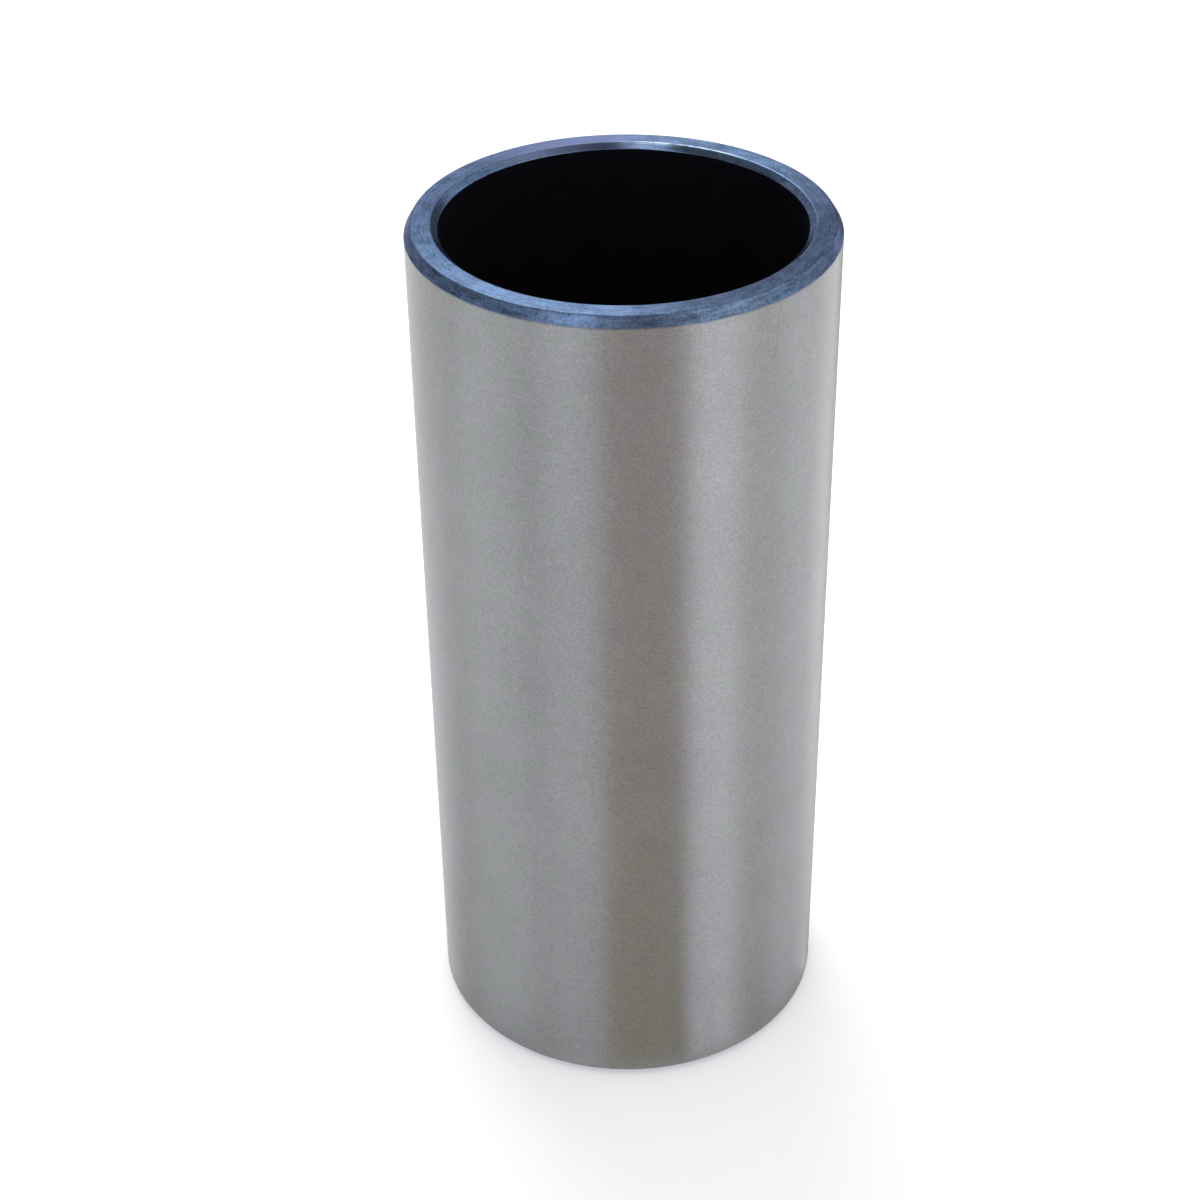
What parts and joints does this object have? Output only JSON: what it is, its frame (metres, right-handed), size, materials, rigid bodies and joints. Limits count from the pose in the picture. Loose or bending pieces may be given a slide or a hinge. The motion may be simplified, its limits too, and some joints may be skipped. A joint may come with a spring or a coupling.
{
  "type": "valve tappet",
  "caption": "Barrel-shaped valve tappet: a one-piece ground steel cup with a flat closed foot for the cam, a dark chamfered rim and a ball seat inside for the push rod.",
  "frame": {"origin": "centre of the flat foot face that runs on the cam", "axes": "+Z along the barrel's axis, from the foot to the open mouth; +X and +Y across it, the barrel being round"},
  "size_m": [0.0252, 0.025, 0.0552],
  "materials": {
    "ground_steel": "satin, centreless ground barrel with a blue-black oxide rim and bore"
  },
  "bodies": {
    "root": {"tappet": "ground_steel"}
  },
  "joints": []
}
